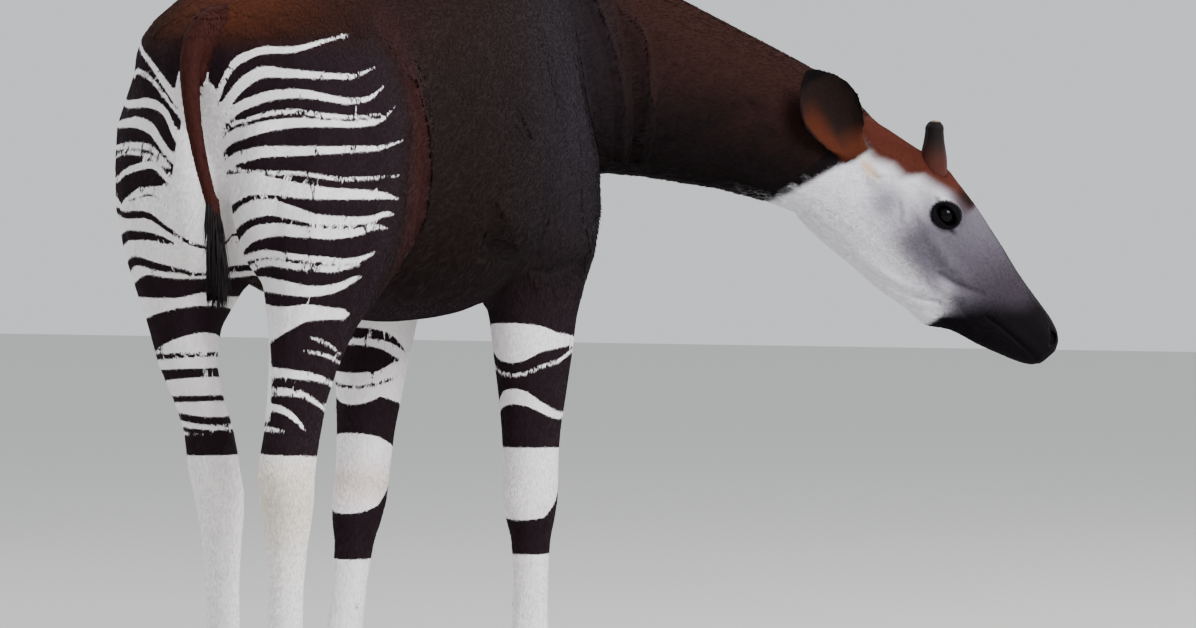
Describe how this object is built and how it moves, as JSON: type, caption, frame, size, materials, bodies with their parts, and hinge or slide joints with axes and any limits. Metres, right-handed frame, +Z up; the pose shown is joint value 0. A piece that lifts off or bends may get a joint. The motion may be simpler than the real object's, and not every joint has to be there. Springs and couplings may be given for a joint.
{
  "type": "okapi",
  "caption": "Life-size standing okapi with striped haunches and legs, its neck bent to the right and its head lowered to browse.",
  "frame": {"origin": "middle of the base of the bounding box, on the floor under the hooves", "axes": "+X forwards along the body, +Y to the animal's left, +Z up"},
  "size_m": [1.8142, 1.0944, 1.515],
  "materials": {
    "body_coat": "short dark chocolate-brown coat with a soft sheen",
    "striped_leg_coat": "short coat in white and near-black stripes",
    "white_leg_coat": "short white coat with dark bands",
    "face_coat": "short pale grey coat, near-black on the muzzle",
    "ear_coat": "short brown coat with a dark rim",
    "tail_coat": "short reddish-brown coat and a dark tuft",
    "ossicone": "hair-covered horn with a bare pale tip",
    "hoof": "dark grey horn",
    "eye": "wet near-black eyeball"
  },
  "bodies": {
    "root": {"ear_left": "ear_coat", "ear_right": "ear_coat", "eye_left": "eye", "eye_right": "eye", "foreleg_left_claw_inner": "hoof", "foreleg_left_claw_outer": "hoof", "foreleg_left_lower": "white_leg_coat", "foreleg_left_upper": "striped_leg_coat", "foreleg_right_claw_inner": "hoof", "foreleg_right_claw_outer": "hoof", "foreleg_right_lower": "white_leg_coat", "foreleg_right_upper": "striped_leg_coat", "head": "face_coat", "hindleg_left_claw_inner": "hoof", "hindleg_left_claw_outer": "hoof", "hindleg_left_lower": "white_leg_coat", "hindleg_left_upper": "striped_leg_coat", "hindleg_right_claw_inner": "hoof", "hindleg_right_claw_outer": "hoof", "hindleg_right_lower": "white_leg_coat", "hindleg_right_upper": "striped_leg_coat", "neck": "body_coat", "ossicone_left": "ossicone", "ossicone_right": "ossicone", "tail": "tail_coat", "torso": "body_coat"}
  },
  "joints": []
}
